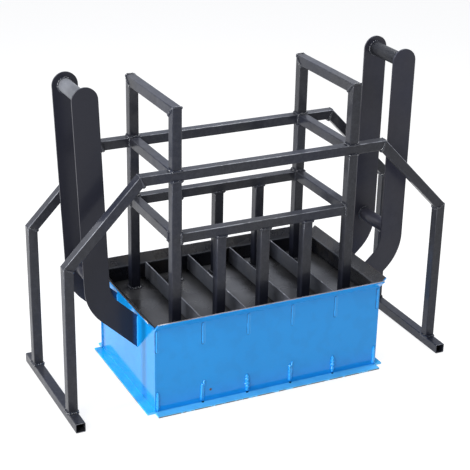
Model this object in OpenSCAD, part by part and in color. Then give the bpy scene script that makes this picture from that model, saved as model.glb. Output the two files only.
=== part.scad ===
// Hand-operated mould for five concrete blocks, with a stripping frame.
// The mould box is lifted by its handles while the frame's plates hold the blocks down.
// Millimetres. +X runs along the box, +Z is up, Z = 0 is the ground, the origin is the
// centre of the footprint.

/* [Blocks] */
// Number of cavities side by side
cavity_count = 5; // [3:1:6]
// Width of one cavity, which is the thickness of a block
cavity_width = 130; // [110:1:140]
// Length of a cavity, which is the length of a block
cavity_length = 400; // [390:1:410]

/* [Mould box] */
// Thickness of the four outer walls
wall = 5; // [3:0.5:6]
// Thickness of the dividers
divider_thick = 4; // [3:0.5:6]
// Height of the rim above the ground
rim_height = 276; // [270:1:290]
// Height of the dividers
divider_height = 255; // [235:1:260]
// Length of the flared top lip, measured outward on its inner face
lip_reach = 24.5; // [12:0.5:30]
// Width of the bottom flange outside the wall
flange_width = 25; // [15:1:30]
// Outside radius of the bend between a wall and its flange
flange_bend = 4; // [1:0.5:5]
// How far the long walls run past the end walls
wall_overrun = 3; // [1:0.5:8]
// Height of the lower tabs that lock the plates together
low_tab_height = 54; // [30:1:80]
// Height of the upper tabs
high_tab_height = 62; // [30:1:80]
// How far a tab stands proud of the wall it passes through
tab_proud = 1; // [0.5:0.1:2]
// Diameter of the weep hole at the foot of each lower tab
weep_diameter = 5; // [3:0.5:6]

/* [Lifting handles] */
// Width of the flat bar
handle_width = 70; // [50:1:80]
// Thickness of the flat bar
handle_thick = 5; // [4:0.5:8]
// Distance between the mid planes of a handle's two bars
handle_spacing = 150; // [120:1:200]
// Distance from the middle of the box to the corner of the bar's centre line
handle_corner = 449; // [440:1:455]
// Height of the centre line where the bar meets the end wall
handle_root_height = 188; // [175:1:195]
// Rise of the lower arm above level, in degrees
arm_angle = 43.5; // [35:0.5:50]
// Outward lean of the left handle's upright, in degrees
left_lean = 2.2; // [0:0.1:3]
// Outward lean of the right handle's upright, in degrees
right_lean = 0.2; // [0:0.1:3]
// Inner radius of the bend
bend_radius = 70; // [40:1:90]
// Height of the grip's axis
grip_height = 851; // [750:1:900]
// Height of the lower cross tube's axis
cross_tube_height = 350; // [345:1:420]
// Outside diameter of the grip and the cross tube
grip_diameter = 38; // [30:1:50]
// Wall of the grip and the cross tube
grip_wall = 3; // [2:0.5:4]

/* [Stripping frame] */
// Side of the square tube
tube = 27; // [20:1:30]
// Wall of the square tube
tube_wall = 2; // [1.5:0.5:3]
// Outside corner radius of the square tube
tube_corner = 2.5; // [2.4:0.1:4]
// Half the distance between the hand bars, centre to centre
portal_x = 258; // [250:1:265]
// Half the distance between the long rails, centre to centre
rail_y = 145.5; // [135:0.5:155]
// Half the distance between the foot rails, centre to centre
foot_x = 555; // [540:1:600]
// Half length of a foot rail
foot_half = 215; // [180:1:230]
// Half length of the upper rails to the corner of their centre lines
rail_corner = 353; // [340:1:360]
// Slope of the braces, in degrees
brace_angle = 46; // [42:1:48]
// Height of the upper rails, centre
upper_height = 650; // [630:1:670]
// Height of the lower rails, centre
lower_height = 477.5; // [475:0.5:520]
// Height of the hand bars, centre
hand_bar_height = 820; // [760:1:860]

/* [Press plates] */
// Height of the press plates' undersides, which is the height of a fresh block
block_height = 205; // [180:1:220]
// Thickness of the press plates
plate_thick = 5; // [4:0.5:8]
// Gap between a press plate and the cavity on each side
plate_gap = 2; // [1:0.5:4]

/* [Hidden] */

$fn = 64;

FRONT = -1;
BACK = 1;
LEFT = -1;
RIGHT = 1;

MOULD_BLUE = [0.16, 0.56, 0.87];
DARK_GREY = [0.22, 0.23, 0.25];
PLATE_GREY = [0.34, 0.35, 0.37];

cavity_pitch = cavity_width + divider_thick;
box_inside = cavity_count * cavity_width + (cavity_count - 1) * divider_thick;
end_inner = box_inside / 2;
end_outer = end_inner + wall;
side_inner = cavity_length / 2;
side_outer = side_inner + wall;
box_half = end_outer + wall_overrun;
lip_bend = rim_height - lip_reach;

low_tab_base = 8;
high_tab_top = lip_bend - 5;
high_tab_base = high_tab_top - high_tab_height;
weep_height = wall + weep_diameter / 2 + 0.1;

plate_top = block_height + plate_thick;
half_tube = tube / 2;
upper_top = upper_height + half_tube;
upper_bottom = upper_height - half_tube;
lower_bottom = lower_height - half_tube;
knee_height = upper_height - (foot_x - rail_corner) * tan(brace_angle);
upper_mitre = brace_angle / 2;
knee_mitre = (90 - brace_angle) / 2;
portal_mitre = 45;
strut_pitch = portal_x / 2;

arc_middle = bend_radius + handle_width / 2;
corner_height = handle_root_height + (handle_corner - end_outer) * tan(arm_angle);

// Lean of the handle on one end
function lean(end) = end == LEFT ? left_lean : right_lean;

// Distance of a handle's upright from the middle of the box at a given height
function upright_x(end, height) = handle_corner + (height - corner_height) * tan(lean(end));

// Point on a circle
function around(centre, radius, angle) = centre + radius * [cos(angle), sin(angle)];

// Points of an arc, in equal steps
function arc(centre, radius, from, to, steps) =
    [for (i = [0 : steps]) around(centre, radius, from + (to - from) * i / steps)];

// ---- mould box ----

// Section of a wall: first axis outward from the inner face, second axis up
module wall_section() {
    tip = wall / sqrt(2);
    polygon(concat(
        arc([flange_bend, flange_bend], flange_bend, 180, 270, 6),
        [
            [wall + flange_width, 0],
            [wall + flange_width, wall],
            [wall, wall],
            [wall, lip_bend - wall * tan(22.5)],
            [lip_reach + tip, rim_height - tip],
            [lip_reach, rim_height],
            [0, lip_bend],
        ]
    ));
}

// A wall along X with its inner face on Y = 0, facing +Y
module wall_run(half_length) {
    rotate([90, 0, 90])
        linear_extrude(height = 2 * half_length, center = true)
            wall_section();
}

// The two tabs on one end of a crosswise plate, starting at its end face at side_inner
module tab_pair(thick) {
    for (span = [[low_tab_base, low_tab_height], [high_tab_base, high_tab_height]])
        translate([-thick / 2, side_inner, span[0]])
            cube([thick, wall + tab_proud, span[1]]);
}

module tabs_both_ends(thick) {
    for (side = [0, 1])
        mirror([0, side, 0])
            tab_pair(thick);
}

// X of divider number i, counted from 1 on the left
function divider_x(i) = (i - cavity_count / 2) * cavity_pitch;

module long_wall(side) {
    end_mid = (end_inner + end_outer) / 2;
    color(MOULD_BLUE)
        scale([1, side, 1])
            difference() {
                translate([0, side_inner, 0])
                    wall_run(box_half);
                for (i = [1 : cavity_count - 1]) {
                    translate([divider_x(i), 0, 0])
                        tab_pair(divider_thick);
                    translate([divider_x(i), side_inner, weep_height])
                        rotate([90, 0, 0])
                            cylinder(d = weep_diameter, h = 4 * wall, center = true);
                }
                for (end = [LEFT, RIGHT])
                    translate([end * end_mid, 0, 0])
                        tab_pair(wall);
            }
}

module end_wall(end) {
    color(MOULD_BLUE)
        scale([end, 1, 1]) {
            difference() {
                translate([end_inner, 0, 0])
                    rotate([0, 0, -90])
                        wall_run(side_outer);
                for (side = [0, 1])
                    mirror([0, side, 0])
                        translate([end_inner - wall, side_inner, -1])
                            cube([2 * wall + wall_overrun, 2 * wall, rim_height + 2]);
            }
            translate([(end_inner + end_outer) / 2, 0, 0])
                tabs_both_ends(wall);
        }
}

module divider(i) {
    color(DARK_GREY)
        translate([divider_x(i), 0, 0]) {
            translate([-divider_thick / 2, -side_inner, 0])
                cube([divider_thick, cavity_length, divider_height]);
            tabs_both_ends(divider_thick);
        }
}

// ---- lifting handles ----

// Outline of a bar: first axis outward along X, second axis up
module handle_outline(end) {
    half = handle_width / 2;
    half_cut = half / cos(arm_angle);
    upright_angle = 90 - lean(end);
    tangent = arc_middle * tan((upright_angle - arm_angle) / 2);
    centre = [handle_corner, corner_height]
        - tangent * [cos(arm_angle), sin(arm_angle)]
        + arc_middle * [-sin(arm_angle), cos(arm_angle)];
    top = [upright_x(end, grip_height), grip_height];
    polygon(concat(
        [[end_outer, handle_root_height - half_cut]],
        arc(centre, bend_radius + handle_width, arm_angle - 90, upright_angle - 90, 20),
        arc(top, half, upright_angle - 90, upright_angle + 90, 40),
        arc(centre, bend_radius, upright_angle - 90, arm_angle - 90, 20),
        [[end_outer, handle_root_height + half_cut]]
    ));
}

module handle_plate(end, side) {
    color(DARK_GREY)
        scale([end, 1, 1])
            translate([0, side * handle_spacing / 2, 0])
                rotate([90, 0, 0])
                    linear_extrude(height = handle_thick, center = true)
                        handle_outline(end);
}

// A round tube along Y between a handle's two bars
module handle_tube(end, height) {
    span = handle_spacing - handle_thick;
    color(DARK_GREY)
        translate([end * upright_x(end, height), 0, height])
            rotate([90, 0, 0])
                difference() {
                    cylinder(d = grip_diameter, h = span, center = true);
                    cylinder(d = grip_diameter - 2 * grip_wall, h = span + 2, center = true);
                }
}

// ---- stripping frame ----

// Square with rounded corners
module rounded_square(side, radius) {
    inner = side - 2 * radius;
    square([side, inner], center = true);
    square([inner, side], center = true);
    for (x = [-1, 1], y = [-1, 1])
        translate([x * inner / 2, y * inner / 2])
            circle(r = radius);
}

// Square tube from the origin along +X. Each end may be mitred, in degrees: a positive
// mitre leaves the +Z side longer, a negative one leaves it shorter
module square_tube(length, start_mitre = 0, end_mitre = 0) {
    start_extra = half_tube * tan(abs(start_mitre));
    end_extra = half_tube * tan(abs(end_mitre));
    big = 4 * tube;
    color(DARK_GREY)
        difference() {
            translate([-start_extra, 0, 0])
                rotate([90, 0, 90])
                    linear_extrude(height = length + start_extra + end_extra)
                        difference() {
                            rounded_square(tube, tube_corner);
                            rounded_square(tube - 2 * tube_wall, tube_corner - tube_wall);
                        }
            if (start_mitre != 0)
                rotate([0, -start_mitre, 0])
                    translate([-big, -big / 2, -big / 2])
                        cube(big);
            if (end_mitre != 0)
                translate([length, 0, 0])
                    rotate([0, end_mitre, 0])
                        translate([0, -big / 2, -big / 2])
                            cube(big);
        }
}

// Upright tube between two heights, with an optional mitre at its top
module upright(x, y, low, high, turn = 0, top_mitre = 0) {
    translate([x, y, low])
        rotate([0, 0, turn])
            rotate([0, -90, 0])
                square_tube(high - low, 0, top_mitre);
}

module cross_tube_between_rails(end, height) {
    span = 2 * rail_y - tube;
    translate([end * portal_x, -span / 2, height])
        rotate([0, 0, 90])
            square_tube(span);
}

module foot_rail(end) {
    translate([end * foot_x, -foot_half, half_tube])
        rotate([0, 0, 90])
            square_tube(2 * foot_half);
}

module leg(end, side) {
    scale([end, 1, 1])
        upright(foot_x, side * rail_y, tube, knee_height, 0, -knee_mitre);
}

module brace(end, side) {
    length = (foot_x - rail_corner) / cos(brace_angle);
    scale([end, 1, 1])
        translate([rail_corner, side * rail_y, upper_height])
            rotate([0, brace_angle, 0])
                square_tube(length, upper_mitre, knee_mitre);
}

module upper_rail(side) {
    translate([-rail_corner, side * rail_y, upper_height])
        square_tube(2 * rail_corner, upper_mitre, upper_mitre);
}

module lower_rail(side) {
    span = 2 * portal_x - tube;
    translate([-span / 2, side * rail_y, lower_height])
        square_tube(span);
}

module hand_bar(end) {
    translate([end * portal_x, -rail_y, hand_bar_height])
        rotate([0, 0, 90])
            square_tube(2 * rail_y, portal_mitre, portal_mitre);
}

module hand_post(end, side) {
    upright(end * portal_x, side * rail_y, upper_top, hand_bar_height, side * 90, -portal_mitre);
}

module press_post(end, side) {
    upright(end * portal_x, side * rail_y, plate_top, upper_bottom);
}

module strut(side, i) {
    upright((i - 2) * strut_pitch, side * rail_y, plate_top, lower_bottom);
}

module press_plate(i) {
    width = cavity_width - 2 * plate_gap;
    length = cavity_length - 2 * plate_gap;
    middle = (i - (cavity_count + 1) / 2) * cavity_pitch;
    color(PLATE_GREY)
        translate([middle - width / 2, -length / 2, block_height])
            cube([width, length, plate_thick]);
}

// ---- nodes ----

long_wall(FRONT);  // front_wall
long_wall(BACK);  // back_wall
end_wall(LEFT);  // left_end_wall
end_wall(RIGHT);  // right_end_wall
divider(1);  // divider_1
divider(2);  // divider_2
divider(3);  // divider_3
divider(4);  // divider_4
handle_plate(LEFT, FRONT);  // left_handle_front_plate
handle_plate(LEFT, BACK);  // left_handle_back_plate
handle_plate(RIGHT, FRONT);  // right_handle_front_plate
handle_plate(RIGHT, BACK);  // right_handle_back_plate
handle_tube(LEFT, grip_height);  // left_handle_grip
handle_tube(RIGHT, grip_height);  // right_handle_grip
handle_tube(LEFT, cross_tube_height);  // left_handle_cross_tube
handle_tube(RIGHT, cross_tube_height);  // right_handle_cross_tube
foot_rail(LEFT);  // left_foot_rail
foot_rail(RIGHT);  // right_foot_rail
leg(LEFT, FRONT);  // left_front_leg
leg(LEFT, BACK);  // left_back_leg
leg(RIGHT, FRONT);  // right_front_leg
leg(RIGHT, BACK);  // right_back_leg
brace(LEFT, FRONT);  // left_front_brace
brace(LEFT, BACK);  // left_back_brace
brace(RIGHT, FRONT);  // right_front_brace
brace(RIGHT, BACK);  // right_back_brace
upper_rail(FRONT);  // front_upper_rail
upper_rail(BACK);  // back_upper_rail
cross_tube_between_rails(LEFT, upper_height);  // left_upper_cross_rail
cross_tube_between_rails(RIGHT, upper_height);  // right_upper_cross_rail
lower_rail(FRONT);  // front_lower_rail
lower_rail(BACK);  // back_lower_rail
cross_tube_between_rails(LEFT, lower_height);  // left_lower_cross_rail
cross_tube_between_rails(RIGHT, lower_height);  // right_lower_cross_rail
hand_bar(LEFT);  // left_hand_bar
hand_bar(RIGHT);  // right_hand_bar
hand_post(LEFT, FRONT);  // left_front_hand_post
hand_post(LEFT, BACK);  // left_back_hand_post
hand_post(RIGHT, FRONT);  // right_front_hand_post
hand_post(RIGHT, BACK);  // right_back_hand_post
press_post(LEFT, FRONT);  // left_front_press_post
press_post(LEFT, BACK);  // left_back_press_post
press_post(RIGHT, FRONT);  // right_front_press_post
press_post(RIGHT, BACK);  // right_back_press_post
strut(FRONT, 1);  // front_strut_1
strut(FRONT, 2);  // front_strut_2
strut(FRONT, 3);  // front_strut_3
strut(BACK, 1);  // back_strut_1
strut(BACK, 2);  // back_strut_2
strut(BACK, 3);  // back_strut_3
press_plate(1);  // press_plate_1
press_plate(2);  // press_plate_2
press_plate(3);  // press_plate_3
press_plate(4);  // press_plate_4
press_plate(5);  // press_plate_5
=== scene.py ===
# %% [markdown]
# # A hand-operated block mould, finished in Blender
# The real object is a blue steel mould box for five concrete blocks, with two tall
# lifting handles, and a dark grey tube frame that stands over it. The frame's plates
# hold the fresh blocks down while two people lift the box. Every size comes from the
# imported model, so this lesson adds only what the eye needs: paint, weld beads, worn
# edges, softened corners, light and a camera. The first step loads the model.

import math
import random

import bmesh
import bpy
from mathutils import Matrix, Vector


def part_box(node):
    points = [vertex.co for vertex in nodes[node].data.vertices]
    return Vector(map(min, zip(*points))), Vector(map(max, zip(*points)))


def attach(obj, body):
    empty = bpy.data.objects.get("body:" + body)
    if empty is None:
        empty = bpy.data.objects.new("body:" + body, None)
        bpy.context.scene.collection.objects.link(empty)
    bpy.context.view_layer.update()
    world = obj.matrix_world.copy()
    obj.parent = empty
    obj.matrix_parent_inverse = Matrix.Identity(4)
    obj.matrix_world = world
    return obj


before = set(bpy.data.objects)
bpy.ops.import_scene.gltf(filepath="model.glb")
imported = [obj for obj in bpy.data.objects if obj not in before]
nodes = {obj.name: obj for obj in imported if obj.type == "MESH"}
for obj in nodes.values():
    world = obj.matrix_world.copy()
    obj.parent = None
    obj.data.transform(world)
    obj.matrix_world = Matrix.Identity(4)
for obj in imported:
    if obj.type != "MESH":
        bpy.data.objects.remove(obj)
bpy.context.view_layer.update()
MM = 0.001

# %% [markdown]
# # Camera
# A long lens a few metres away keeps the upright tubes almost parallel. The camera
# stands in front and to the left, higher than the object, and looks down about 24
# degrees. A camera could be aimed by eye, but
# turning it in three clear steps keeps each angle readable. A small lens shift frames
# the object without turning the camera.

# %% Camera
CAMERA_PLACE = (-1.526, -3.078, 1.854)
YAW, PITCH, ROLL = (math.radians(a) for a in (-24.40, -24.20, 0.48))

camera_data = bpy.data.cameras.new("camera")
camera = bpy.data.objects.new("camera", camera_data)
bpy.context.scene.collection.objects.link(camera)
camera_data.sensor_width = 36.0
camera_data.lens = 102.7
camera_data.shift_x, camera_data.shift_y = 0.0815, 0.0499
camera.matrix_world = (
    Matrix.Translation(CAMERA_PLACE)
    @ Matrix.Rotation(YAW, 4, "Z")
    @ Matrix.Rotation(math.radians(90) + PITCH, 4, "X")
    @ Matrix.Rotation(ROLL, 4, "Z")
)
bpy.context.scene.camera = camera
bpy.context.scene.view_settings.view_transform = "Standard"
print("camera at", [round(v, 3) for v in camera.location])

# %% [markdown]
# # Light
# Dark gloss paint shows its surroundings more than its own colour, so the room is the
# main light: a pale dome, brightest and a little blue behind the object, where upward
# faces mirror it. A large panel up on the left gives the thin bright lines along
# the tube corners, because a panel that crosses an edge fills more of its small
# rounding, and one overhead does the same for the long rails. A narrow upright strip on
# the left throws the soft shadows of the two legs on the end wall, and a dim panel
# behind lights the tops of the left braces and the left grip. Sun lamps would be
# simpler, but their shadows are hard, and soft panels keep them pale.

# %% Room light
world = bpy.data.worlds.new("studio_room")
bpy.context.scene.world = world
world.use_nodes = True
room = world.node_tree
room.nodes.clear()
room_out = room.nodes.new("ShaderNodeOutputWorld")
room_light = room.nodes.new("ShaderNodeBackground")
room_split = room.nodes.new("ShaderNodeSeparateXYZ")
room_place = room.nodes.new("ShaderNodeTexCoord")
room.links.new(room_place.outputs["Generated"], room_split.inputs[0])


def room_ramp(direction, *stops):
    """A colour that changes from the first stop to the last along one direction."""
    reach = room.nodes.new("ShaderNodeMapRange")
    reach.inputs["From Min"].default_value = -1.0
    room.links.new(room_split.outputs[direction], reach.inputs["Value"])
    ramp = room.nodes.new("ShaderNodeValToRGB")
    ramp.color_ramp.interpolation = "EASE"
    ends = ramp.color_ramp.elements
    while len(ends) < len(stops):
        ends.new(0.5)
    for end, (place, colour) in zip(ends, stops):
        end.position = place
        end.color = (*colour, 1)
    room.links.new(reach.outputs["Result"], ramp.inputs["Fac"])
    return ramp.outputs["Color"]


front_to_back = room_ramp("Y", (0.45, (0.46, 0.47, 0.50)), (0.80, (1.42, 1.47, 1.60)))
low_to_high = room_ramp("Z", (0.50, (1.0, 1.0, 1.0)), (0.95, (0.46, 0.48, 0.54)))
left_to_right = room_ramp("X", (0.22, (1.0, 1.0, 1.03)), (0.62, (0.96, 0.96, 0.96)))


def room_product(a, b):
    """Two room colours multiplied."""
    node = room.nodes.new("ShaderNodeMix")
    node.data_type = "RGBA"
    node.blend_type = "MULTIPLY"
    node.inputs["Factor"].default_value = 1.0
    room.links.new(a, node.inputs["A"])
    room.links.new(b, node.inputs["B"])
    return node.outputs["Result"]


across_room = room_product(room_product(front_to_back, low_to_high), left_to_right)
room.links.new(across_room, room_light.inputs["Color"])
room.links.new(room_light.outputs[0], room_out.inputs[0])
room_light.inputs["Strength"].default_value = 0.66

TARGET = Vector((0.0, 0.0, 0.4))


def soft_panel(name, place, size, watts, long_way):
    """A rectangular soft light at place, facing the object, its first side long_way."""
    data = bpy.data.lights.new(name, "AREA")
    data.shape = "RECTANGLE"
    data.size, data.size_y = size
    data.energy = watts
    lamp = bpy.data.objects.new(name, data)
    bpy.context.scene.collection.objects.link(lamp)
    away = (Vector(place) - TARGET).normalized()
    across = away.cross(Vector(long_way)).normalized()
    along = across.cross(away)
    lamp.matrix_world = Matrix.Translation(place) @ Matrix(
        (along, across, away)
    ).transposed().to_4x4()


soft_panel("key_panel", (-2.52, -1.73, 2.31), (1.7, 1.2), 80, (0.41, -0.83, -0.39))
soft_panel("side_strip", (-2.9, -0.42, 0.95), (1.7, 0.20), 54, (0.0, 0.0, 1.0))
soft_panel("back_panel", (-1.75, 2.2, 1.95), (1.6, 1.2), 13, (1.0, 0.6, 0.0))
soft_panel("top_panel", (0.9, 0.5, 2.8), (1.4, 0.9), 88, (0.0, 1.0, -0.2))

# %% [markdown]
# # Floor
# The object stands on a plain white studio floor. A curved backdrop would also do, but
# a very wide disc is simpler, and it reaches nearly to the horizon when the object is
# seen from lower down. It glows faintly as well as reflecting, so it stays white up to
# the edge of the frame and the shadows on it stay soft and pale.

# %% Floor
FLOOR_RADIUS = 60.0
FLOOR_DROP = 0.0003
floor_mesh = bpy.data.meshes.new("studio_floor")
shape = bmesh.new()
bmesh.ops.create_circle(shape, cap_ends=True, radius=FLOOR_RADIUS, segments=96)
shape.to_mesh(floor_mesh)
shape.free()
floor = bpy.data.objects.new("studio_floor", floor_mesh)
floor.location.z = -FLOOR_DROP
bpy.context.scene.collection.objects.link(floor)

floor_paper = bpy.data.materials.new("studio_paper")
floor_paper.use_nodes = True
paper = floor_paper.node_tree.nodes["Principled BSDF"]
paper.inputs["Base Color"].default_value = (0.20, 0.20, 0.20, 1)
paper.inputs["Roughness"].default_value = 0.9
paper.inputs["Specular IOR Level"].default_value = 0.1
paper.inputs["Emission Color"].default_value = (1, 1, 1, 1)
paper.inputs["Emission Strength"].default_value = 0.86
floor_mesh.materials.append(floor_paper)
print("floor radius", FLOOR_RADIUS, "m")

# %% [markdown]
# # Tools for building paint
# Each finish is a small graph of nodes. Building them by hand in the editor is fine for
# one, but a few short functions keep nine finishes alike and easy to change. All the
# patterns are read in object coordinates, which are the object's own metres, so a mark
# stays on its plate when the box is lifted.

# %% Node helpers


class Finish:
    """A material with one Principled shader, and short ways of adding nodes to it."""

    def __init__(self, name, specular=0.5):
        self.material = bpy.data.materials.new(name)
        self.material.use_nodes = True
        self.tree = self.material.node_tree
        self.shader = self.tree.nodes["Principled BSDF"]
        self.shader.inputs["Specular IOR Level"].default_value = specular
        coords = self.tree.nodes.new("ShaderNodeTexCoord")
        self.place = coords.outputs["Object"]
        split = self.tree.nodes.new("ShaderNodeSeparateXYZ")
        self.tree.links.new(self.place, split.inputs[0])
        self.x, self.y, self.z = split.outputs

    def facing(self):
        """How far the surface turns toward +X, +Y and +Z, each from -1 to 1."""
        geometry = self.tree.nodes.new("ShaderNodeNewGeometry")
        split = self.tree.nodes.new("ShaderNodeSeparateXYZ")
        self.tree.links.new(geometry.outputs["Normal"], split.inputs[0])
        return split.outputs

    def clear_coat(self, weight, roughness, ior=1.5):
        """A sharp gloss on top of the duller paint below it."""
        self.shader.inputs["Coat IOR"].default_value = ior
        self.shader.inputs["Coat Weight"].default_value = weight
        self.shader.inputs["Coat Roughness"].default_value = roughness

    def put(self, value, socket):
        """Links an output into a socket, or sets a plain number or colour on it."""
        if isinstance(value, bpy.types.NodeSocket):
            self.tree.links.new(value, socket)
        elif isinstance(value, tuple):
            socket.default_value = (*value, 1.0) if len(value) == 3 else value
        else:
            socket.default_value = value

    def math(self, operation, a, b=0.0):
        node = self.tree.nodes.new("ShaderNodeMath")
        node.operation = operation
        self.put(a, node.inputs[0])
        self.put(b, node.inputs[1])
        return node.outputs[0]

    def noise(self, scale, detail=3.0, roughness=0.5, stretch=None):
        """Noise from about 0.3 to 0.7. Scale is in waves per metre."""
        node = self.tree.nodes.new("ShaderNodeTexNoise")
        node.inputs["Scale"].default_value = scale
        node.inputs["Detail"].default_value = detail
        node.inputs["Roughness"].default_value = roughness
        place = self.place
        if stretch:
            mapping = self.tree.nodes.new("ShaderNodeMapping")
            mapping.inputs["Scale"].default_value = stretch
            self.tree.links.new(place, mapping.inputs["Vector"])
            place = mapping.outputs[0]
        self.tree.links.new(place, node.inputs["Vector"])
        return node.outputs[0]

    def step(self, value, low, high, out_low=0.0, out_high=1.0):
        """Rises smoothly from out_low to out_high as value goes from low to high."""
        node = self.tree.nodes.new("ShaderNodeMapRange")
        node.interpolation_type = "SMOOTHSTEP"
        self.put(value, node.inputs["Value"])
        for name, number in (
            ("From Min", low),
            ("From Max", high),
            ("To Min", out_low),
            ("To Max", out_high),
        ):
            node.inputs[name].default_value = number
        return node.outputs["Result"]

    def mix(self, share, a, b):
        """Colour a where share is 0 and b where it is 1."""
        node = self.tree.nodes.new("ShaderNodeMix")
        node.data_type = "RGBA"
        self.put(share, node.inputs["Factor"])
        self.put(a, node.inputs["A"])
        self.put(b, node.inputs["B"])
        return node.outputs["Result"]

    def tone(self):
        """The output that gives the base colour now."""
        return self.shader.inputs["Base Color"].links[0].from_socket

    def repeat(self, value, pitch, start):
        """Distance from the nearest of a row of middles, one every pitch."""
        shifted = self.math("MODULO", self.math("ADD", value, start), pitch)
        return self.math("SUBTRACT", shifted, pitch / 2)

    def near(self, spot, radius):
        """1 at a spot, falling to 0 at radius."""
        node = self.tree.nodes.new("ShaderNodeVectorMath")
        node.operation = "DISTANCE"
        self.tree.links.new(self.place, node.inputs[0])
        node.inputs[1].default_value = spot
        return self.step(node.outputs["Value"], radius, 0.5 * radius)

    def bump(self, height, strength, distance=0.0004):
        """Adds a bump on top of any bump that is there already."""
        node = self.tree.nodes.new("ShaderNodeBump")
        node.inputs["Strength"].default_value = strength
        node.inputs["Distance"].default_value = distance
        self.put(height, node.inputs["Height"])
        normal = self.shader.inputs["Normal"]
        if normal.is_linked:
            self.tree.links.new(normal.links[0].from_socket, node.inputs["Normal"])
        self.tree.links.new(node.outputs[0], normal)

    def colour(self, value):
        self.put(value, self.shader.inputs["Base Color"])

    def roughness(self, value):
        self.put(value, self.shader.inputs["Roughness"])


print("node helpers ready")

# %% [markdown]
# # Dark enamel
# The frame and the handles wear a dark grey enamel with a hint of blue, sprayed on thin
# over bare steel. Sprayed enamel is never flat: it has a fine orange peel, slow drifts
# between grey and navy where the coat is thicker, and a gloss that changes from hand to
# hand. One function makes it, so the frame, the handles, the grips and the weld beads
# differ only in tone, gloss and speckle. On top of that the left handle gets painted
# shade and the grips painted light, and three short functions add painted light and a
# spray mark: painted highlights on the upper edges of the frame, painted shade in deep
# navy on the posts inside the box, and blue mist where the handles meet it.

# %% Dark enamel
COAT_IOR = 1.42
RUBBED_GREY = (0.050, 0.051, 0.056)
# painted highlight for the upper tube edges
EDGE_PAINTED_HIGHLIGHT = (0.230, 0.240, 0.270)
# painted shade for the posts inside the box
NAVY_PAINTED_SHADE = (0.0055, 0.0070, 0.0150)
MIST_BLUE = (0.006, 0.060, 0.200)
# painted shade for the left handle
LEFT_HANDLE_PAINTED_SHADE = (0.0115, 0.0125, 0.0195)
# painted light for the left grip, paler at its far end
LEFT_GRIP_PAINTED_LIGHT = (0.105, 0.110, 0.122)
FAR_GRIP_PAINTED_LIGHT = (0.175, 0.183, 0.202)


def dark_enamel(
    name, grey, navy, gloss, coat, scuff=0.35, coat_share=0.32, speckle=0.30
):
    """Satin dark paint that drifts between two tones, rough from gloss[0] to [1]."""
    paint = Finish(name, specular=0.12)
    paint.clear_coat(coat_share, coat, COAT_IOR)
    drift = paint.step(paint.noise(5.0, 2.0), 0.42, 0.62)
    tone = paint.mix(drift, grey, navy)
    mottle = paint.step(paint.noise(70.0, 4.0, 0.6), 0.35, 0.7)
    tone = paint.mix(
        paint.math("MULTIPLY", mottle, 1.15 * speckle),
        tone,
        tuple(c * 1.9 for c in grey),
    )
    grain = paint.step(paint.noise(330.0, 2.0, 0.6), 0.42, 0.62)
    tone = paint.mix(
        paint.math("MULTIPLY", grain, speckle), tone, tuple(c * 0.45 for c in grey)
    )
    rub = paint.step(paint.noise(38.0, 8.0, 0.75, (1.0, 1.0, 0.25)), 0.60, 0.74)
    rub = paint.math("MULTIPLY", rub, scuff)
    tone = paint.mix(rub, tone, RUBBED_GREY)
    paint.colour(tone)
    paint.roughness(paint.step(paint.noise(24.0, 5.0, 0.65), 0.32, 0.68, *gloss))
    paint.bump(paint.noise(480.0, 2.0), 0.10)
    return paint


def paint_upper_edge_highlights(paint):
    """Painted highlights: pale lines along the upper long edges of the tubes."""
    turned = paint.facing()
    up = paint.step(turned[2], 0.10, 0.30)
    up = paint.math("MULTIPLY", up, paint.step(turned[2], 0.985, 0.93))
    side = paint.math("ABSOLUTE", turned[1])
    past_top = paint.step(side, 0.20, 0.40)
    past_top = paint.math("MULTIPLY", past_top, paint.step(side, 0.985, 0.93))
    edge = paint.math("MULTIPLY", up, past_top)
    broken = paint.step(paint.noise(22.0, 5.0, 0.7), 0.36, 0.60, 0.25, 1.0)
    edge = paint.math("MULTIPLY", edge, broken)
    paint.colour(paint.mix(edge, paint.tone(), EDGE_PAINTED_HIGHLIGHT))


def paint_shade_in_box(paint):
    """Painted shade: the posts inside the box turn deep navy below the rim."""
    inside = paint.step(paint.math("ABSOLUTE", paint.x), 0.32, 0.30)
    inside = paint.math("MULTIPLY", inside, paint.step(paint.z, 0.345, 0.270))
    share = paint.math("MULTIPLY", inside, 0.75)
    paint.colour(paint.mix(share, paint.tone(), NAVY_PAINTED_SHADE))


def add_overspray(paint):
    """Blue mist from the box, where the bars are welded to the end walls."""
    near_wall = paint.step(paint.math("ABSOLUTE", paint.x), 0.356, 0.340)
    below_lip = paint.step(paint.z, 0.30, 0.26)
    mist = paint.math("MULTIPLY", near_wall, below_lip)
    grain = paint.step(paint.noise(240.0, 3.0), 0.35, 0.60, 0.55, 1.0)
    mist = paint.math("MULTIPLY", mist, grain)
    paint.colour(paint.mix(mist, paint.tone(), MIST_BLUE))


frame_paint = dark_enamel(
    "frame_enamel",
    (0.0260, 0.0272, 0.0335),
    (0.0190, 0.0218, 0.0345),
    (0.32, 0.45),
    0.10,
)
handle_paint = dark_enamel(
    "handle_enamel",
    (0.0325, 0.0325, 0.0440),
    (0.0260, 0.0275, 0.0430),
    (0.34, 0.48),
    0.18,
    0.15,
    speckle=0.08,
)
# painted shade: the left handle is a darker navy than the right one
left_painted_light_share = handle_paint.step(handle_paint.x, 0.1, -0.1, 0.0, 0.75)
handle_paint.colour(handle_paint.mix(left_painted_light_share, handle_paint.tone(), LEFT_HANDLE_PAINTED_SHADE))
add_overspray(handle_paint)
# painted highlights on the upper edges of the frame tubes
paint_upper_edge_highlights(frame_paint)
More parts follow.
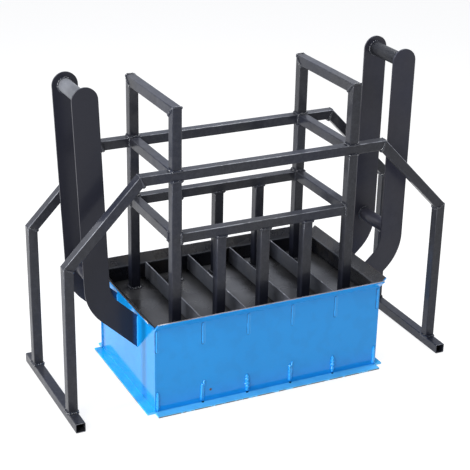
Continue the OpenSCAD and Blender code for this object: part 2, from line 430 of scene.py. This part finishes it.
# painted shade on the posts inside the box
paint_shade_in_box(frame_paint)
bead_paint = dark_enamel(
    "bead_enamel",
    (0.028, 0.030, 0.038),
    (0.020, 0.024, 0.040),
    (0.25, 0.40),
    0.06,
    0.2,
    1.0,
)
grip_paint = dark_enamel(
    "grip_enamel",
    (0.018, 0.019, 0.023),
    (0.016, 0.018, 0.024),
    (0.45, 0.60),
    0.35,
    0.5,
    0.2,
)
# painted light: the left grip is paler than the right, and paler still towards its far
# end
left_painted_light_share = grip_paint.step(grip_paint.x, 0.1, -0.1, 0.0, 0.9)
far_light_share = grip_paint.step(grip_paint.y, -0.02, 0.05)
grip_painted_light = grip_paint.mix(far_light_share, LEFT_GRIP_PAINTED_LIGHT, FAR_GRIP_PAINTED_LIGHT)
grip_paint.colour(grip_paint.mix(left_painted_light_share, grip_paint.tone(), grip_painted_light))
print("dark enamels", frame_paint.material.name, handle_paint.material.name)

# %% [markdown]
# # Blue enamel, with a dark inside and a worn rim
# The box is bright blue outside and dark inside, and the edge of its flared lip is
# rubbed down to bare steel. The sheet's own geometry tells the two sides apart: on the
# inner face of a wall, the distance outward equals the height above the lip's bend. The
# graph measures that distance, so the border between the colours falls exactly on the
# edge and the sheet needs no second mesh. Brown stains, pale chips and scuffs along the
# bottom flange are masks of the same kind, broken up with noise. So are the painted
# light and shade: a painted highlight along the lip's bend inside, painted light on the
# foot and the flange, dark and pale lines round the filled slots, and dark spots of
# painted shade at the weep holes.

# %% Blue enamel
BLUE = (0.002, 0.262, 0.685)
BLUE_DRIFT = (0.003, 0.274, 0.710)
BLUE_DUST = (0.004, 0.17, 0.50)
BLUE_RUB = (0.10, 0.40, 0.80)
# painted light for the blue beads and tabs
BEAD_BLUE_PAINTED_LIGHT = (0.040, 0.420, 0.950)
SOOTY_BLUE = (0.003, 0.12, 0.36)
# painted shade and painted light for the edges of the filled slots
SLOT_PAINTED_SHADE, SLOT_PAINTED_LIGHT = (0.002, 0.040, 0.150), (0.040, 0.340, 0.780)
# painted light for the up-facing bottom flanges
END_FLANGE_PAINTED_LIGHT = (0.012, 0.480, 0.930)
LONG_FLANGE_PAINTED_LIGHT = (0.110, 0.540, 0.960)
# painted light from the floor on the foot of the walls
BLUE_PAINTED_FLOOR_LIGHT = (0.010, 0.290, 0.810)
INSIDE_SLATE, INSIDE_BROWN = (0.0078, 0.0090, 0.0135), (0.0175, 0.0160, 0.0155)
# painted highlight along the inside of the lip's bend
BEND_PAINTED_HIGHLIGHT = (0.050, 0.055, 0.066)
FOOT_SCRAPE = (0.10, 0.075, 0.075)
# painted shade for the weep holes
WEEP_PAINTED_SHADE = (0.004, 0.020, 0.060)
BARE_STEEL = (0.27, 0.275, 0.33)
RUST = (0.085, 0.062, 0.045)
CHIP = (0.62, 0.64, 0.66)

divider_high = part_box("divider_1")[1]
LONG_INSIDE = divider_high.y - 6 * MM
END_INSIDE = 0.333
LIP_BEND = 0.2515
LIP_REACH = 0.0245
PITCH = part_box("divider_2")[0].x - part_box("divider_1")[0].x
TAB_HALF, TAB_TALL, TAB_MIDDLE = 0.0052, 0.0320, 0.2150
WEEP_HEIGHT, WEEP_SHADE_RADIUS = 0.0065, 0.0048
print("inner faces at", round(LONG_INSIDE, 4), END_INSIDE)


def blue_tone(paint):
    """The blue itself: a slow drift, painted light on the foot and flange, thin dust
    and rubs.
    """
    drift = paint.step(paint.noise(4.0, 3.0), 0.35, 0.65)
    tone = paint.mix(drift, BLUE, BLUE_DRIFT)
    # painted light: the lowest 75 mm of the walls is a lighter blue
    low = paint.step(paint.z, 0.075, 0.0)
    tone = paint.mix(paint.math("MULTIPLY", low, 0.8), tone, BLUE_PAINTED_FLOOR_LIGHT)
    # painted light: the up-facing bottom flange is a brighter blue
    on_long = paint.math("ABSOLUTE", paint.y)
    on_long = paint.step(on_long, LONG_INSIDE, LONG_INSIDE + 0.006)
    flange = paint.mix(on_long, END_FLANGE_PAINTED_LIGHT, LONG_FLANGE_PAINTED_LIGHT)
    tone = paint.mix(paint.step(paint.z, 0.0075, 0.0048), tone, flange)
    fine = paint.step(paint.noise(160.0, 4.0, 0.7), 0.56, 0.75)
    tone = paint.mix(paint.math("MULTIPLY", fine, 0.07), tone, BLUE_DUST)
    rub = paint.step(paint.noise(30.0, 9.0, 0.8, (0.35, 1.0, 1.0)), 0.63, 0.75)
    tone = paint.mix(paint.math("MULTIPLY", rub, 0.12), tone, BLUE_RUB)
    return tone


def blue_enamel(name):
    """Blue paint all over, painted lighter as their light, for beads and tabs outside
    the box.
    """
    paint = Finish(name)
    paint.colour(paint.mix(0.45, blue_tone(paint), BEAD_BLUE_PAINTED_LIGHT))
    paint.roughness(paint.step(paint.noise(30.0, 4.0), 0.3, 0.7, 0.12, 0.22))
    paint.bump(paint.noise(500.0, 2.0), 0.12)
    return paint


def paint_slot_shade_lines(paint, tone, pitch):
    """A filled slot in painted shade and light: dark left and top lines, a pale right
    one.
    """
    along = paint.repeat(paint.x, pitch, pitch * 4)
    corner = 0.0035
    past_x = paint.math("SUBTRACT", paint.math("ABSOLUTE", along), TAB_HALF - corner)
    height = paint.math("SUBTRACT", paint.z, TAB_MIDDLE)
    past_z = paint.math("SUBTRACT", paint.math("ABSOLUTE", height), TAB_TALL - corner)
    squares = paint.math(
        "ADD",
        paint.math("POWER", paint.math("MAXIMUM", past_x, 0.0), 2.0),
        paint.math("POWER", paint.math("MAXIMUM", past_z, 0.0), 2.0),
    )
    reach = paint.math("SUBTRACT", paint.math("SQRT", squares), corner)
    line = paint.step(paint.math("ABSOLUTE", reach), 0.0013, 0.0004)
    broken = paint.step(paint.noise(45.0, 3.0), 0.36, 0.50, 0.35, 1.0)
    line = paint.math("MULTIPLY", line, broken)
    painted_lit_side = paint.step(along, -0.001, 0.004)
    slot_painted_tone = paint.mix(painted_lit_side, SLOT_PAINTED_SHADE, SLOT_PAINTED_LIGHT)
    return paint.mix(paint.math("MULTIPLY", line, 0.85), tone, slot_painted_tone)


def sheet_enamel(name, across, inner, beside, rim_tones, stains_and_shade=(), tab_pitch=0.0):
    """Paint for one pair of walls: across is the axis that points out of the box."""
    paint = Finish(name)
    paint.shader.inputs["IOR"].default_value = COAT_IOR
    outward = paint.math("SUBTRACT", paint.math("ABSOLUTE", across(paint)), inner)
    above = paint.math("SUBTRACT", paint.z, LIP_BEND)
    depth = paint.math("SUBTRACT", outward, paint.math("MAXIMUM", above, 0.0))
    outside = paint.step(depth, 0.0006, 0.0012)
    side_axis, side_inner = beside
    past_side = paint.math("ABSOLUTE", side_axis(paint))
    past_side = paint.step(past_side, side_inner + 0.0010, side_inner + 0.0016)
    below_bend = paint.step(paint.z, LIP_BEND, LIP_BEND - 0.001)
    sheet_end = paint.math("MULTIPLY", past_side, below_bend)
    outside = paint.math("MAXIMUM", outside, sheet_end)
    along_lip = paint.math(
        "MULTIPLY", paint.math("ADD", outward, above), math.sqrt(0.5)
    )
    ragged = paint.math(
        "MULTIPLY", paint.math("SUBTRACT", paint.noise(90.0, 6.0, 0.7), 0.5), 0.004
    )
    edge = LIP_REACH * math.sqrt(2)
    worn = paint.math("ADD", along_lip, ragged)
    worn = paint.step(worn, edge - 0.0011, edge - 0.0005)
    above_bend = paint.step(paint.z, LIP_BEND, LIP_BEND + 0.001)
    worn = paint.math("MULTIPLY", worn, above_bend)
    rub_depth = paint.math("ADD", depth, ragged)
    worn = paint.math("MULTIPLY", worn, paint.step(rub_depth, 0.0048, 0.0030))

    tone = blue_tone(paint)
    seam = paint.step(depth, 0.0052, 0.0068)
    soot = paint.math("MULTIPLY", paint.step(paint.noise(25.0, 3.0), 0.45, 0.62), 0.10)
    tone = paint.mix(soot, tone, SOOTY_BLUE)
    foot = paint.math("MULTIPLY", paint.step(paint.z, 0.0042, 0.0018), seam)
    foot = paint.math("MULTIPLY", foot, paint.step(outward, 0.0285, 0.0298))
    scrape = paint.step(paint.noise(26.0, 7.0, 0.75), 0.43, 0.50)
    tone = paint.mix(paint.math("MULTIPLY", foot, scrape), tone, FOOT_SCRAPE)
    if tab_pitch:
        tone = paint_slot_shade_lines(paint, tone, tab_pitch)
    for spot, radius, spot_tone in stains_and_shade:
        tone = paint.mix(paint.near(spot, radius), tone, spot_tone)

    slate_drift = paint.step(paint.noise(9.0, 4.0, 0.6), 0.4, 0.65)
    slate = paint.mix(slate_drift, INSIDE_SLATE, INSIDE_BROWN)
    # painted highlight: a paler band along the lip's bend inside the box
    bend = paint.math("ABSOLUTE", above)
    bend = paint.math("MULTIPLY", paint.step(bend, 0.0045, 0.0005), 0.55)
    slate = paint.mix(bend, slate, BEND_PAINTED_HIGHLIGHT)
    tone = paint.mix(outside, slate, tone)

    stained = paint.step(paint.noise(14.0, 5.0, 0.7), 0.50, 0.64)
    rim = paint.mix(stained, *rim_tones)
    speck = paint.step(paint.noise(70.0, 4.0, 0.7), 0.60, 0.66)
    rim = paint.mix(paint.math("MULTIPLY", speck, 0.35), rim, BARE_STEEL)
    tone = paint.mix(worn, tone, rim)
    corner = paint.near((-0.357, -0.224, 0.275), 0.060)
    flakes = paint.step(paint.noise(190.0, 3.0, 0.6), 0.44, 0.48)
    chips = paint.math("MULTIPLY", corner, flakes)
    lip_only = paint.step(worn, 0.2, 0.6)
    tone = paint.mix(paint.math("MULTIPLY", chips, lip_only), tone, CHIP)
    paint.colour(tone)

    gloss = paint.step(paint.noise(22.0, 5.0, 0.6), 0.32, 0.68, 0.09, 0.14)
    dull = paint.step(outside, 0.0, 1.0, 0.16, 0.0)
    paint.roughness(paint.math("ADD", gloss, dull))
    paint.bump(paint.noise(420.0, 2.0), 0.05)
    paint.bump(paint.noise(9.0, 1.0), 0.16, 0.0030)
    return paint


# dark spots of painted shade at the weep holes below the tabs; the rust spot is a real
# stain
WEEP_SHADE_SPOTS = [
    ((i * PITCH, side * (LONG_INSIDE + 0.005), WEEP_HEIGHT), WEEP_SHADE_RADIUS, WEEP_PAINTED_SHADE)
    for i in (-1.5, -0.5, 0.5, 1.5)
    for side in (-1, 1)
]
long_paint = sheet_enamel(
    "long_wall_enamel",
    lambda p: p.y,
    LONG_INSIDE,
    (lambda p: p.x, END_INSIDE),
    (BARE_STEEL, (0.150, 0.145, 0.150)),
    [((-0.178, -0.205, 0.039), 0.0050, RUST), *WEEP_SHADE_SPOTS],
    PITCH,
)
end_paint = sheet_enamel(
    "end_wall_enamel",
    lambda p: p.x,
    END_INSIDE,
    (lambda p: p.y, LONG_INSIDE),
    ((0.050, 0.036, 0.027), (0.022, 0.020, 0.019)),
)
blue_bead_paint = blue_enamel("blue_bead_enamel")
print("blue enamels", long_paint.material.name, end_paint.material.name)

# %% [markdown]
# # Divider and press plate steel
# The dividers wear dark paint except along their top edges, where every scrape of the
# shovel takes it off, so a thin line of bare steel shows. The press plates touch wet
# concrete and wear a greyer coat with cloudy rubbed areas. Painted shade darkens them
# along the dividers, they grow darker towards the left, and a painted sheen lightens
# the middle ones. Each finish is a base colour with a few masks laid over it.

# %% Divider and press plate finishes
DIVIDER_SLATE, DIVIDER_GREY = (0.0680, 0.0740, 0.0900), (0.0820, 0.0850, 0.0960)
DIVIDER_EDGE, DIVIDER_BARE = (0.085, 0.090, 0.108), (0.26, 0.27, 0.30)
PLATE_DARK, PLATE_PALE = (0.0210, 0.0218, 0.0250), (0.0500, 0.0510, 0.0560)
PLATE_GRIT = (0.020, 0.020, 0.022)
# painted shade near the dividers, and the darker tone towards the left
PLATE_PAINTED_SHADE, PLATE_LEFT_DARK = (0.0060, 0.0058, 0.0056), (0.0075, 0.0072, 0.0070)
# painted sheen for the middle press plates
PLATE_PAINTED_SHEEN = (0.066, 0.068, 0.075)

divider_paint = Finish("divider_enamel", specular=0.45)
slate = divider_paint.mix(
    divider_paint.step(divider_paint.noise(12.0, 4.0, 0.6), 0.4, 0.65),
    DIVIDER_SLATE,
    DIVIDER_GREY,
)
top_line = divider_paint.step(
    divider_paint.z, divider_high.z - 0.0007, divider_high.z - 0.0003
)
patchy = divider_paint.step(
    divider_paint.noise(60.0, 6.0, 0.7, (1.0, 0.4, 1.0)), 0.34, 0.52, 0.45, 1.0
)
bright = divider_paint.mix(
    divider_paint.step(divider_paint.noise(45.0, 3.0), 0.55, 0.68),
    DIVIDER_EDGE,
    DIVIDER_BARE,
)
divider_tone = divider_paint.mix(
    divider_paint.math("MULTIPLY", top_line, patchy), slate, bright
)
past_wall = divider_paint.math("ABSOLUTE", divider_paint.y)
past_wall = divider_paint.step(past_wall, LONG_INSIDE + 0.0010, LONG_INSIDE + 0.0016)
divider_paint.colour(
    divider_paint.mix(past_wall, divider_tone, blue_tone(divider_paint))
)
divider_paint.roughness(
    divider_paint.step(divider_paint.noise(30.0, 4.0), 0.3, 0.7, 0.30, 0.48)
)
divider_paint.bump(divider_paint.noise(400.0, 2.0), 0.12)

plate_paint = Finish("press_plate_enamel", specular=0.5)
plate_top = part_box("press_plate_1")[1].z
cloud = plate_paint.step(plate_paint.noise(7.0, 1.0), 0.36, 0.66)
plate_tone = plate_paint.mix(cloud, PLATE_DARK, PLATE_PALE)
grit = plate_paint.step(plate_paint.noise(240.0, 3.0, 0.6), 0.58, 0.74)
plate_tone = plate_paint.mix(
    plate_paint.math("MULTIPLY", grit, 0.12), plate_tone, PLATE_GRIT
)
from_middle = plate_paint.math(
    "ABSOLUTE", plate_paint.repeat(plate_paint.x, PITCH, PITCH * 4.5)
)
wavy = plate_paint.math(
    "MULTIPLY", plate_paint.math("SUBTRACT", plate_paint.noise(11.0, 1.0), 0.5), 0.09
)
# painted shade: the plates darken next to the dividers
divider_painted_shade = plate_paint.step(plate_paint.math("ADD", from_middle, wavy), 0.012, 0.054)
plate_tone = plate_paint.mix(
    plate_paint.math("MULTIPLY", divider_painted_shade, 0.90), plate_tone, PLATE_PAINTED_SHADE
)
# the plates get darker towards the left
toward_left = plate_paint.step(plate_paint.x, -0.25, 0.10, 0.50, 0.0)
plate_tone = plate_paint.mix(toward_left, plate_tone, PLATE_LEFT_DARK)
# painted sheen: a lighter patch on the middle plates
painted_sheen = plate_paint.near((0.10, 0.04, plate_top), 0.20)
plate_tone = plate_paint.mix(
    plate_paint.math("MULTIPLY", painted_sheen, plate_paint.math("SUBTRACT", 1.0, divider_painted_shade)),
    plate_tone,
    PLATE_PAINTED_SHEEN,
)
plate_paint.colour(plate_tone)
plate_paint.roughness(
    plate_paint.step(plate_paint.noise(9.0, 2.0), 0.3, 0.7, 0.22, 0.36)
)
plate_paint.bump(plate_paint.noise(300.0, 3.0), 0.07)
print("plate finishes", divider_paint.material.name, plate_paint.material.name)

# %% [markdown]
# # Softened edges
# Sawn tube and sheared plate never have perfectly sharp edges, and it is the small
# rounding that catches the light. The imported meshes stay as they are: a Weld modifier
# joins their split corners and a Bevel modifier rounds what is left sharp, both worked
# out afresh at each render. Each node also gets its paint here.

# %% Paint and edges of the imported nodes
EDGE_ROUND = 0.0007


def finish_of(name):
    """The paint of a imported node, from what the node is."""
    if name in ("front_wall", "back_wall"):
        return long_paint
    if name.endswith("end_wall"):
        return end_paint
    if name.startswith("divider"):
        return divider_paint
    if name.startswith("press_plate"):
        return plate_paint
    if name.endswith("grip"):
        return grip_paint
    if "handle" in name:
        return handle_paint
    return frame_paint


for name, node in nodes.items():
    for slot in node.material_slots:
        slot.material = finish_of(name).material
    join = node.modifiers.new("join_corners", "WELD")
    join.merge_threshold = 0.01 * MM
    soften = node.modifiers.new("soften_edges", "BEVEL")
    soften.width = EDGE_ROUND
    soften.segments = 2
    soften.limit_method = "ANGLE"
    soften.angle_limit = math.radians(35)
print("painted", len(nodes), "nodes")

# %% [markdown]
# # Weld beads
# Every joint of this object is welded by hand, and the lumpy beads are what make it
# look made and not drawn. A bead is a row of puddles, each frozen over the edge of the
# last, so a tube swept along the joint with a pulsing, slightly wandering section gives
# the right scallops. A bump map would be cheaper, but the lumps stand proud of the
# tubes and break their outline, so they have to be real shapes. The random numbers are
# seeded, so each run gives the same beads.

# %% Bead builder
RING_POINTS = 9
STEP = 1.5 * MM
dice = random.Random(41)


def resample(points, radii, closed):
    """Points and radii at even steps along a line of straight stretches."""
    if closed:
        points, radii = points + points[:1], radii + radii[:1]
    line, thick = [], []
    for a, b, ra, rb in zip(points, points[1:], radii, radii[1:]):
        count = max(1, round((b - a).length / STEP))
        for i in range(count):
            t = i / count
            line.append(a.lerp(b, t))
            thick.append(ra + (rb - ra) * t)
    if not closed:
        line.append(points[-1])
        thick.append(radii[-1])
    return line, thick


def sweep_bead(shape, points, radii, closed, pitch, ripple, flat=None, flat_share=1.0):
    """Adds one bead to a bmesh. flat is the direction that squeezes its section."""
    line, thick = resample([Vector(p) for p in points], list(radii), closed)
    count = len(line)
    phase = dice.uniform(0, math.pi)
    swell = [1 + dice.uniform(-0.16, 0.16) for _ in range(count // 3 + 2)]
    rings = []
    side = None
    for i, (at, radius) in enumerate(zip(line, thick)):
        if closed:
            ahead = line[(i + 1) % count] - line[i - 1]
        else:
            ahead = line[min(i + 1, count - 1)] - line[max(i - 1, 0)]
        ahead.normalize()
        if side is None:
            side = ahead.orthogonal().normalized()
        side = (side - ahead * side.dot(ahead)).normalized()
        up = ahead.cross(side)
        wave = abs(math.sin(math.pi * i * STEP / pitch + phase)) ** 0.6
        slow = swell[i // 3] + (swell[i // 3 + 1] - swell[i // 3]) * (i % 3) / 3
        size = radius * (1 + ripple * (wave - 0.65)) * slow
        if not closed:
            from_end = min(i, count - 1 - i) * STEP
            size *= min(1.0, 0.45 + 0.55 * from_end / (1.5 * radius))
        centre = at + (side * dice.uniform(-1, 1) + up * dice.uniform(-1, 1)) * (
            0.07 * radius
        )
        ring = []
        for k in range(RING_POINTS):
            turn = 2 * math.pi * k / RING_POINTS
            out = side * math.cos(turn) + up * math.sin(turn)
            if flat is not None:
                out = out - flat * out.dot(flat) * (1 - flat_share)
            ring.append(
                shape.verts.new(centre + out * size * (1 + dice.uniform(-0.05, 0.05)))
            )
        rings.append(ring)
    pairs = list(zip(rings, rings[1:]))
    if closed:
        pairs.append((rings[-1], rings[0]))
    for a, b in pairs:
        for k in range(RING_POINTS):
            j = (k + 1) % RING_POINTS
            shape.faces.new((a[k], a[j], b[j], b[k]))
    if not closed:
        shape.faces.new(rings[0][::-1])
        shape.faces.new(rings[-1])


def make_piece(name, shape, body, paint):
    """Turns a bmesh into a smooth piece that rides on a body."""
    bmesh.ops.recalc_face_normals(shape, faces=shape.faces)
    mesh = bpy.data.meshes.new(name)
    shape.to_mesh(mesh)
    shape.free()
    mesh.shade_smooth()
    mesh.materials.append(paint.material)
    piece = bpy.data.objects.new(name, mesh)
    bpy.context.scene.collection.objects.link(piece)
    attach(piece, body)
    print(name, len(mesh.polygons), "faces on", body)


def box_loop(centre, u, half_u, v, half_v, corner=2.0 * MM):
    """Points round a rectangle with cut corners, each with its share toward -u."""
    centre, u, v = Vector(centre), Vector(u), Vector(v)
    inner_u, inner_v = half_u - corner, half_v - corner
    flat = [
        (half_u, -inner_v),
        (half_u, inner_v),
        (inner_u, half_v),
        (-inner_u, half_v),
        (-half_u, inner_v),
        (-half_u, -inner_v),
        (-inner_u, -half_v),
        (inner_u, -half_v),
    ]
    points = [centre + u * a + v * b for a, b in flat]
    toward = [(1 - a / half_u) / 2 for a, b in flat]
    return points, toward


print("bead step", STEP, "m")

# %% [markdown]
# # Beads of the stripping frame
# The posts and struts stand on the press plates with a thick bead all round. Where two
# tubes of the same size meet, their faces are flush, so the bead is thin there and
# bulges only in the corners on either side. The mitred corners have the most metal on
# the inside of the bend. The positions come from the tubes' own boxes.

# %% Bead positions on the frame
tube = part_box("front_upper_rail")[1].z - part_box("front_upper_rail")[0].z
HALF = tube / 2
X, Y, Z = Vector((1, 0, 0)), Vector((0, 1, 0)), Vector((0, 0, 1))


def middle(name):
    low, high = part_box(name)
    return (low + high) / 2


lower_z = middle("front_lower_rail").z
upper_z = middle("front_upper_rail").z
bar_z = middle("left_hand_bar").z
foot_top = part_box("left_foot_rail")[1].z
rail_y = middle("back_upper_rail").y
portal_x = middle("right_hand_bar").x
foot_x = middle("right_foot_rail").x
strut_xs = [middle(f"front_strut_{i}").x for i in (1, 2, 3)]
print("plate top", round(plate_top, 4), "rails", round(lower_z, 4), round(upper_z, 4))

# %% Beads round the feet of the posts and struts
FOOT_BEAD = 4.6 * MM
shape = bmesh.new()
for x in (-portal_x, *strut_xs, portal_x):
    for y in (-rail_y, rail_y):
        points, _ = box_loop((x, y, plate_top), X, HALF + 0.6 * MM, Y, HALF + 0.6 * MM)
        sweep_bead(shape, points, [FOOT_BEAD] * 8, True, 7.0 * MM, 0.6)
make_piece("post_foot_beads", shape, "frame", bead_paint)

# %% Beads where tubes of one size meet
BUTT_THIN, BUTT_THICK = 3.0 * MM, 4.8 * MM


def butt_bead(shape, centre, sides, flush):
    """A bead round a butt joint, thick on both faces along sides and thin on flush."""
    points, toward = box_loop(centre, sides, HALF, flush, HALF, 3.0 * MM)
    radii = [
        BUTT_THIN + (BUTT_THICK - BUTT_THIN) * abs(2 * t - 1) ** 4 for t in toward
    ]
    sweep_bead(shape, points, radii, True, 6.0 * MM, 0.75)


shape = bmesh.new()
for y in (-rail_y, rail_y):
    for x in strut_xs:
        butt_bead(shape, (x, y, lower_z - HALF), X, Y)
    for x in (-portal_x, portal_x):
        butt_bead(shape, (x, y, upper_z - HALF), X, Y)
        butt_bead(shape, (x, y, upper_z + HALF), X, Y)
        inward = math.copysign(HALF, x)
        butt_bead(shape, (x - inward, y, lower_z), Z, Y)
    for x in (-foot_x, foot_x):
        butt_bead(shape, (x, y, foot_top), Y, X)
for x in (-portal_x, portal_x):
    for y in (-rail_y + HALF, rail_y - HALF):
        butt_bead(shape, (x, y, upper_z), Z, X)
        butt_bead(shape, (x, y, lower_z), Z, X)
make_piece("butt_joint_beads", shape, "frame", bead_paint)

# %% Beads on the mitred corners
rail_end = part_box("front_upper_rail")[1].x


def mitre_bead(shape, centre, outward, mitre, across, thin, thick):
    """A bead along a mitre: outward points to the outside of the bend."""
    half = HALF / math.cos(mitre)
    points, toward = box_loop(centre, outward, half, across, HALF, 4.0 * MM)
    radii = [thin + (thick - thin) * t**3 for t in toward]
    sweep_bead(shape, points, radii, True, 4.8 * MM, 0.5)


BRACE = math.radians(46)
corner_x = rail_end - HALF * math.tan(BRACE / 2)
knee_z = upper_z - (foot_x - corner_x) * math.tan(BRACE)
shape = bmesh.new()
for end in (-1, 1):
    for y in (-rail_y, rail_y):
        lean = BRACE / 2
        outward = Vector((end * math.sin(lean), 0, math.cos(lean)))
        mitre_bead(
            shape, (end * corner_x, y, upper_z), outward, lean, Y, 1.7 * MM, 5.6 * MM
        )
        lean = (math.pi / 2 - BRACE) / 2
        outward = Vector((end * math.cos(lean), 0, math.sin(lean)))
        mitre_bead(
            shape, (end * foot_x, y, knee_z), outward, lean, Y, 1.4 * MM, 4.6 * MM
        )
        outward = Vector((0, math.copysign(math.sqrt(0.5), y), math.sqrt(0.5)))
        mitre_bead(
            shape,
            (end * portal_x, y, bar_z),
            outward,
            math.pi / 4,
            X,
            2.4 * MM,
            4.8 * MM,
        )
make_piece("mitre_beads", shape, "frame", bead_paint)

# %% [markdown]
# # Beads of the mould box and its handles
# The grips and cross tubes are welded to the flat bars all round, and the bars to the
# end walls along both faces. The dividers lock into the long walls with tabs that come
# through slots: the low ones are welded with a coarse lumpy bead and the high ones are
# filled and ground nearly flush. Each corner has a bead down its height.

# %% Beads on the handles
CIRCLE_POINTS = 40
GRIP_BEAD = 3.2 * MM
TURNS = [2 * math.pi * i / CIRCLE_POINTS for i in range(CIRCLE_POINTS)]

shape = bmesh.new()
for end in ("left", "right"):
    bar_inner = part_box(f"{end}_handle_back_plate")[0].y
    for name in (f"{end}_handle_grip", f"{end}_handle_cross_tube"):
        centre = middle(name)
        low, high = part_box(name)
        radius = (high.z - low.z) / 2
        for y in (-bar_inner, bar_inner):
            points = [
                Vector(
                    (
                        centre.x + (radius + 0.4 * MM) * math.cos(a),
                        y,
                        centre.z + (radius + 0.4 * MM) * math.sin(a),
                    )
                )
                for a in TURNS
            ]
            sweep_bead(
                shape, points, [GRIP_BEAD] * CIRCLE_POINTS, True, 6.0 * MM, 0.5
            )
make_piece("grip_beads", shape, "mould", bead_paint)

# %% Beads on the box
BOX_OUT = LONG_INSIDE + 5 * MM
TAB_X = [middle(f"divider_{i}").x for i in (1, 2, 3, 4)]
END_TAB_X = END_INSIDE + 2.5 * MM
END_OUT = END_INSIDE + 5 * MM
BAR_BEAD, CORNER_BEAD = 2.4 * MM, 2.3 * MM

shape = bmesh.new()
for end in ("left", "right"):
    x = math.copysign(END_OUT, middle(f"{end}_handle_front_plate").x)
    for plate in ("front", "back"):
        low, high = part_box(f"{end}_handle_{plate}_plate")
        for y in (low.y, high.y):
            points = [(x, y, 0.1415), (x, y, 0.19), (x, y, 0.2345)]
            sweep_bead(shape, points, [BAR_BEAD] * 3, False, 4.5 * MM, 0.35)
for side in (-1, 1):
    for end in (-1, 1):
        points = [
            (end * (END_OUT + 0.6 * MM), side * (LONG_INSIDE + 0.4 * MM), z)
            for z in (0.006, 0.12, 0.246)
        ]
        sweep_bead(shape, points, [CORNER_BEAD] * 3, False, 5.5 * MM, 0.35)
make_piece("box_corner_beads", shape, "mould", blue_bead_paint)

# %% Beads on the tabs
shape = bmesh.new()
for side in (-1, 1):
    y = side * (BOX_OUT + 0.6 * MM)
    for x in (-END_TAB_X, *TAB_X, END_TAB_X):
        drift = dice.uniform(-1.0, 1.0) * MM
        if abs(x) > 0.3:
            x -= math.copysign(2.0 * MM, x)
            points = [(x, y, 0.007), (x + drift, y, 0.035), (x, y, 0.064)]
            radii = [4.6 * MM, 4.4 * MM, 4.0 * MM]
            sweep_bead(shape, points, radii, False, 22.0 * MM, 0.2)
            continue
        smooth = x in (TAB_X[0], TAB_X[2])
        points = [(x, y, 0.012), (x + drift, y, 0.058)]
        sweep_bead(shape, points, [5.6 * MM] * 2, False, 20.0 * MM, 0.15, Y, 0.48)
        ridge = x - (3.6 * MM if smooth else 0.6 * MM)
        points = [
            (ridge + drift, y, 0.011),
            (ridge, y, 0.035),
            (ridge - drift, y, 0.062),
        ]
        thick = 3.5 * MM if smooth else 5.2 * MM
        ripple = 0.25 if smooth else 0.85
        sweep_bead(shape, points, [thick] * 3, False, 11.0 * MM, ripple)
        if smooth:
            for prong, top in ((-1, 0.064), (1, 0.072)):
                points = [
                    (x + prong * 1.5 * MM, y, 0.055),
                    (x + prong * 3.8 * MM, y, top),
                ]
                sweep_bead(shape, points, [3.6 * MM, 2.6 * MM], False, 8.0 * MM, 0.4)
make_piece("low_tab_beads", shape, "mould", blue_bead_paint)

shape = bmesh.new()
for side in (-1, 1):
    y = side * BOX_OUT
    for x in TAB_X:
        points = [(x, y, 0.185), (x, y, 0.246)]
        sweep_bead(
            shape, points, [4.0 * MM] * 2, False, 14.0 * MM, 0.10, Y, 0.8 / 4.0
        )
    for x in (-END_TAB_X, END_TAB_X):
        points = [(x, y, 0.183), (x, y, 0.215), (x, y, 0.246)]
        sweep_bead(shape, points, [2.3 * MM, 1.9 * MM, 2.4 * MM], False, 8.0 * MM, 0.4)
make_piece("high_tab_fillings", shape, "mould", blue_bead_paint)
